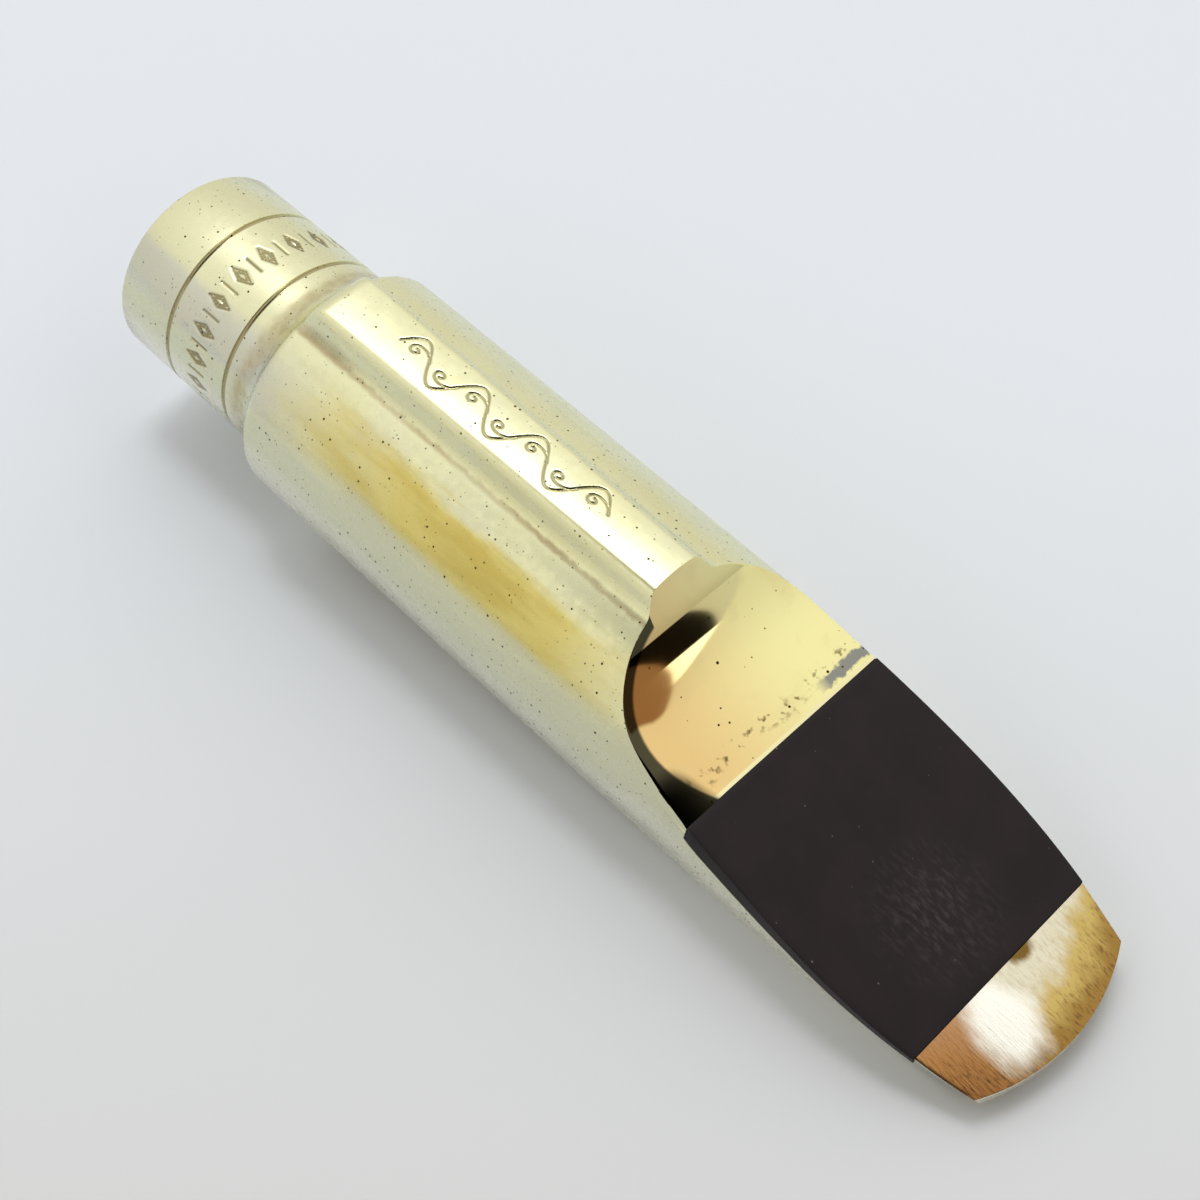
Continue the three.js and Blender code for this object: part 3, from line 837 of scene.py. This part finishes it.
# A running scroll: a waving stem with a tendril curled inside each of its bends
stem = [(x, SCROLL_HEIGHT * math.sin(math.pi * (x - SCROLL_START) / SCROLL_PITCH))
        for x in np.linspace(SCROLL_START, SCROLL_START + 7 * SCROLL_PITCH, 180)]
scroll = [stem]
for bend in range(7):
    middle = SCROLL_START + SCROLL_PITCH * (bend + 0.5)
    side = 1 if bend % 2 == 0 else -1
    tendril = []
    for t in np.linspace(0, 1, 48):
        reach = 0.16 + 1.62 * math.exp(-3.6 * t)
        turn = t * 2 * math.pi * 1.3
        tendril.append((middle + reach * math.cos(turn), side * (0.72 * reach * math.sin(turn) + 0.22 * t)))
    scroll.append(tendril)
engrave(body, [[(x, y, crown_height(x, y)) for x, y in line] for line in scroll], 0.19, 0.1)

# The scoop, which nothing touches, is still a gold mirror, warmer on the left, with a few pits and a worn line
# where the reed cap's edge met it.
polished, tree, shader = metal("polished_gold_plate", 0.035)
there, place, distance = along_bore(tree)[:3]
tint = painted(tree, colour("#E2C286"), colour("#EDE7A9"), place["Y"], -8.0, 7.0)
grain = cloudy(tree, there, 0.7, 4.0)
lumps = cloudy(tree, there, 3.0)
tint = painted(tree, tint, colour("#D2C490"), lumps, 0.5, 0.75, 0.35)
worn_off = away_from(tree, place["X"], 70.0, cloudy(tree, there, 2.5), 1.4)
tint = painted(tree, tint, colour("#7C6A40"), grain, 0.54, 0.66,
               node(tree, "ShaderNodeMapRange",
                    {"Value": worn_off, "From Min": 0.9, "From Max": 0.1}).outputs[0])
patch = node(tree, "ShaderNodeMapRange", {"Value": place["Y"], "From Min": 5.2, "From Max": 6.5}).outputs[0]
patch_off = away_from(tree, place["X"], 70.75, grain, 0.5)
tint = painted(tree, tint, colour("#8C8C86"), patch_off, 0.62, 0.35, patch)
# A paler strip painted along the bite plate's rear edge, as a painted highlight of the seam
line = node(tree, "ShaderNodeMath", {0: place["X"], 1: 71.55}, operation="GREATER_THAN").outputs[0]
tint = painted(tree, tint, colour("#E9E2B4"), lumps, 0.2, 0.4, line)
# Painted dark reflection beside the left edge, from a hair's width at the back to 3 mm at the plate, where the
# rolled-off edge mirrors the dark room
widening = node(tree, "ShaderNodeMath", {0: place["X"], 1: 62.5}, operation="SUBTRACT").outputs[0]
widening = node(tree, "ShaderNodeMath", {0: widening, 1: 1.95}, operation="POWER").outputs[0]
painted_reflection_reach = node(tree, "ShaderNodeMath", {0: widening, 1: 0.035, 2: distance},
              operation="MULTIPLY_ADD").outputs[0]
on_left = node(tree, "ShaderNodeMath", {0: place["Y"], 1: -3.3}, operation="LESS_THAN").outputs[0]
tint = painted(tree, tint, colour("#4C4836"), painted_reflection_reach, 10.35, 10.6, on_left)
tint = painted(tree, tint, colour(PIT), pits(tree, there, 1.15, 0.6), 0.16, 0.1)
tree.links.new(tint, shader.inputs["Base Color"])

# The tip in front of the bite plate is rubbed through to brass by reeds and lips: coppery and brown towards its edges,
# with fine scratches along the bore, and a near-white patch painted in its middle as a painted highlight.
rubbed, tree, shader = metal("rubbed_brass_tip", 0.25)
there, place = along_bore(tree)[:2]
grain = cloudy(tree, there, 0.22, 5.0, (0.3, 1, 1))
lumps = cloudy(tree, there, 1.6, 5.0, (0.5, 1, 1))
to_edge = node(tree, "ShaderNodeVectorMath", {0: there, 1: (82.9, 0, -3.0)},
               operation="DISTANCE").outputs["Value"]
wavy = node(tree, "ShaderNodeMath", {0: lumps, 1: 4.0, 2: to_edge}, operation="MULTIPLY_ADD").outputs[0]
tint = painted(tree, colour("#DFD9C2"), colour("#C9B06A"), wavy, 15.8, 17.8)
tint = painted(tree, tint, colour("#9C7A40"), wavy, 17.8, 20.2)
leftward = node(tree, "ShaderNodeMath", {0: lumps, 1: -3.0, 2: place["Y"]},
                operation="MULTIPLY_ADD").outputs[0]
tint = painted(tree, tint, colour("#B57E4C"), leftward, -4.6, -7.6, 0.9)
tint = painted(tree, tint, colour("#8A6238"), grain, 0.42, 0.72, 0.22)
near_edge = node(tree, "ShaderNodeMapRange",
                 {"Value": to_edge, "From Min": 15.2, "From Max": 17.8}).outputs[0]
tint = painted(tree, tint, colour("#7C5C36"), grain, 0.50, 0.72, near_edge)
# A brown spot at the plate's edge, and a painted highlight: a near-white patch in the middle
spot_off = node(tree, "ShaderNodeVectorMath", {0: there, 1: (94.4, 2.2, -2.1)},
                operation="DISTANCE").outputs["Value"]
spot_off = node(tree, "ShaderNodeMath", {0: lumps, 1: 1.6, 2: spot_off}, operation="MULTIPLY_ADD").outputs[0]
tint = painted(tree, tint, colour("#7A6030"), spot_off, 2.2, 1.5)
painted_highlight_off = node(tree, "ShaderNodeVectorMath", {0: there, 1: (97.4, -3.0, -2.6)}, operation="SUBTRACT")
painted_highlight_off = node(tree, "ShaderNodeVectorMath", {0: painted_highlight_off.outputs["Vector"], 1: (0.28, 0.36, 0.3)},
                  operation="MULTIPLY").outputs["Vector"]
painted_highlight_off = node(tree, "ShaderNodeVectorMath", {0: painted_highlight_off}, operation="LENGTH").outputs["Value"]
painted_highlight_off = node(tree, "ShaderNodeMath", {0: lumps, 1: 0.7, 2: painted_highlight_off},
                  operation="MULTIPLY_ADD").outputs[0]
tint = painted(tree, tint, colour("#FFFDF4"), painted_highlight_off, 1.6, 0.9)
tree.links.new(tint, shader.inputs["Base Color"])
scratched(tree, shader, there, "x", 0.2, 0.012)

# Where the body was cut out, and on the plate the reed lies on, it is bare machined brass
bare, tree, shader = metal("machined_brass", 0.34)
there = along_bore(tree)[0]
tint = painted(tree, colour("#D0BA7C"), colour("#A8905A"), cloudy(tree, there, 4.0, 4.0), 0.45, 0.7, 0.7)
tree.links.new(tint, shader.inputs["Base Color"])
scratched(tree, shader, there, "x", 0.3, 0.003)

# Each face takes the finish of its place: mirror in the scoop, plate outside, bare brass where it was cut out
centres = drawn([face.center for face in body.data.polygons])
on_beak = np.abs(centres[:, 2] - beak_surface(centres[:, 0], centres[:, 1])) < 0.03
on_beak &= centres[:, 0] > 59
radius = np.hypot(centres[:, 1], centres[:, 2])
outer = (radius > body_radius(centres[:, 0]) - BUFFED_IN - 0.1) | (centres[:, 0] > 99.2)
normals = np.array([face.normal for face in body.data.polygons])
outer &= (normals @ np.array(upward) > -0.9) | (centres[:, 0] < TABLE_START)
finish = np.where(on_beak, 1, np.where(outer, 0, 2))
facing_up = normals @ np.array(upward) > 0.5
finish[facing_up & (centres[:, 0] > SLOPE_END) & (centres[:, 2] > TIP_HEIGHT - 0.6)] = 3
dressed(body, "plated_brass", "body_shell", plated, polished, bare, rubbed)
body.data.polygons.foreach_set("material_index", finish.astype(np.int32))

# ---- Table plate ----
# A flat brass plate soldered over the chamber, lapped true for the reed to lie on. The window's round end is cut in it.

table_plate = turned("table_plate_brass", [
    (TABLE_START + JOINT, 0), (TABLE_START + JOINT, BARREL_RADIUS), (TABLE_PLATE_END, BARREL_RADIUS),
    (TABLE_PLATE_END, 0),
], INSIDE_STEPS)
cut(table_plate, extruded("table_plate_slab", [
    (TABLE_START - 1, TABLE_HEIGHT), (TABLE_PLATE_END + 1, TABLE_HEIGHT),
    (TABLE_PLATE_END + 1, TABLE_HEIGHT + TABLE_PLATE), (TABLE_START - 1, TABLE_HEIGHT + TABLE_PLATE),
], -BEYOND, BEYOND), "INTERSECT")
window = [
    (TABLE_PLATE_END + THROAT_HALF_WIDTH * math.cos(t), THROAT_HALF_WIDTH * math.sin(t))
    for t in np.linspace(math.pi / 2, 1.5 * math.pi, 49)
]
cut(table_plate, extruded("window_end", [*window, (90, -THROAT_HALF_WIDTH), (90, THROAT_HALF_WIDTH)],
                          -BEYOND, BEYOND, "z"))
eased(table_plate, 0.06)
dressed(table_plate, "plated_brass", "table_plate", bare, plated)
centres = drawn([face.center for face in table_plate.data.polygons])
outer = np.hypot(centres[:, 1], centres[:, 2]) > BARREL_RADIUS - 0.08
table_plate.data.polygons.foreach_set("material_index", outer.astype(np.int32))

# ---- Bite plate ----
# Matt black hard rubber, cemented into the bed that is milled in the beak, for the teeth to rest on. Its sides stand
# a hair proud of the brass.

PLATE_PROUD = 0.14
PLATE_CROWN = 0.12
PLATE_WORN = 0.15

plate_rows = []
for x in np.linspace(PLATE_START, SLOPE_END, 33):
    top = SLOPE_HEIGHT + slope * (x - SLOPE_START)
    radius = float(body_radius(x)) + PLATE_PROUD
    level = top - np.linspace(0, PLATE_THICKNESS, 7)
    side = np.column_stack((np.sqrt(radius**2 - level**2), level))
    worn = float(buffed_in(x, 1.3)) + PLATE_WORN * float(1 - eased_share(x, 76, 92))
    left_side = np.column_stack((worn - side[:, 0], level))
    share = np.linspace(0, 1, 41)[1:-1]
    over = np.column_stack((left_side[0, 0] + (side[0, 0] - left_side[0, 0]) * share,
                            top + PLATE_CROWN * 4 * share * (1 - share)))
    under = np.column_stack((side[-1, 0] + (left_side[-1, 0] - side[-1, 0]) * share,
                             np.full_like(share, top - PLATE_THICKNESS)))
    ring = np.concatenate((over, side, under, left_side[::-1]))
    plate_rows.append(np.column_stack((np.full(len(ring), x), ring)))
count = len(plate_rows[0])
plate_faces = grid_faces(len(plate_rows), count, closed=True)
plate_faces += [tuple(range(count)), tuple(range((len(plate_rows) - 1) * count, len(plate_rows) * count))]
rubber = bpy.data.materials.new("matt_hard_rubber")
rubber.use_nodes = True
tree = rubber.node_tree
shader = tree.nodes["Principled BSDF"]
shader.inputs["IOR"].default_value = 1.55
shader.inputs["Specular IOR Level"].default_value = 0.24
there = along_bore(tree)[0]
grain = cloudy(tree, there, 0.35, 4.0, (0.3, 1, 1))
tint = painted(tree, colour("#14080D"), colour("#1C0F15"), cloudy(tree, there, 5.0), 0.35, 0.65)
# Near the front middle the rubber is rubbed smoother, and paler grey streaks are painted there as a painted sheen
sheen_and_rub_off = node(tree, "ShaderNodeVectorMath", {0: there, 1: (88.5, -0.8, -0.7)},
               operation="DISTANCE").outputs["Value"]
painted_sheen_share = node(tree, "ShaderNodeMapRange",
                   {"Value": sheen_and_rub_off, "From Min": 6.5, "From Max": 1.0}).outputs[0]
tint = painted(tree, tint, colour("#3C3331"), grain, 0.40, 0.78, painted_sheen_share)
tint = painted(tree, tint, colour("#6A6462"), pits(tree, there, 0.9, 0.3), 0.12, 0.06)
tree.links.new(tint, shader.inputs["Base Color"])
rubbed_rough = node(tree, "ShaderNodeMapRange",
                    {"Value": sheen_and_rub_off, "From Min": 1.0, "From Max": 7.5, "To Min": 0.36,
                                                 "To Max": 0.55}).outputs[0]
tree.links.new(rubbed_rough, shader.inputs["Roughness"])
scratched(tree, shader, there, "y", 0.3, 0.006)
bite_plate = mesh_object("bite_plate_rubber", np.concatenate(plate_rows), plate_faces)
eased(bite_plate, 0.09, steps=3)
dressed(bite_plate, "hard_rubber", "bite_plate", rubber)

# ---- Bounds of the shown objects, the table top left out ----

low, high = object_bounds()
